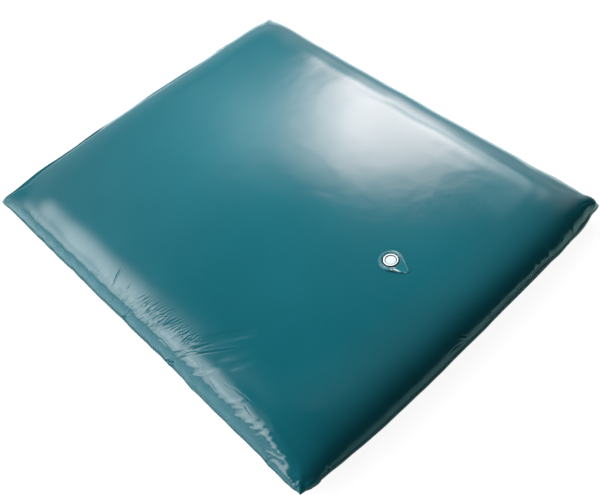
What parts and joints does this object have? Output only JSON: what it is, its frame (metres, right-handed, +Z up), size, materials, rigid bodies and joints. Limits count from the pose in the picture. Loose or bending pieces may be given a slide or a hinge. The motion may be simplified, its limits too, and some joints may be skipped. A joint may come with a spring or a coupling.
{
  "type": "waterbed mattress",
  "caption": "Filled rectangular water mattress of glossy teal vinyl with lap-welded sides, a teardrop filler valve, screw cap and plug, wave-damping fibre inside.",
  "frame": {"origin": "middle of the underside, on the surface that the mattress lies on", "axes": "+Y along the mattress to the head end, away from the valve; +X to the right seen from the foot end; +Z up"},
  "size_m": [1.64, 1.976, 0.2055],
  "materials": {
    "vinyl": "gloss",
    "clear_vinyl": "gloss",
    "gusset": "satin",
    "cap": "satin",
    "disc": "satin",
    "neck": "satin",
    "plug": "satin",
    "gasket": "matte",
    "fibre": "matte",
    "webbing": "matte",
    "water": "gloss"
  },
  "bodies": {
    "mattress": {"top_panel": "vinyl", "bottom_panel": "vinyl", "valve_flange": "clear_vinyl", "valve_neck": "neck", "water_fill": "water", "fibre_layer_lower": "fibre", "fibre_layer_middle": "fibre", "fibre_layer_upper": "fibre", "corner_gusset_foot_left": "gusset", "tether_strap_foot_left": "webbing", "tether_tab_foot_left": "gusset", "corner_gusset_foot_right": "gusset", "tether_strap_foot_right": "webbing", "tether_tab_foot_right": "gusset", "corner_gusset_head_left": "gusset", "tether_strap_head_left": "webbing", "tether_tab_head_left": "gusset", "corner_gusset_head_right": "gusset", "tether_strap_head_right": "webbing", "tether_tab_head_right": "gusset"},
    "cap_seal": {"cap_gasket": "gasket"},
    "cap_middle": {"cap_disc": "disc"},
    "cap_screw": {"cap_ring": "cap"},
    "stopper": {"plug": "plug"}
  },
  "joints": [
    {"name": "cap_lift_off", "type": "slide", "parent": "mattress", "child": "cap_seal", "axis": [0, 0, 1], "range_m": [0, 0.045]},
    {"name": "cap_screw_rise", "type": "slide", "parent": "cap_seal", "child": "cap_middle", "axis": [0, 0, 1], "range_m": [0, 0.0045]},
    {"name": "cap_turn", "type": "hinge", "parent": "cap_middle", "child": "cap_screw", "pos_m": [0, -0.6, 0.2], "axis": [0, 0, 1], "range_deg": [0, 540]},
    {"name": "plug_pull", "type": "slide", "parent": "mattress", "child": "stopper", "axis": [0, 0, 1], "range_m": [0, 0.03]}
  ],
  "couplings": [
    {"joint": "cap_screw_rise", "follows": "cap_turn", "m_per_rad": 0.0004774},
    {"joint": "plug_pull", "follows": "cap_lift_off", "ratio": 0.6666}
  ]
}
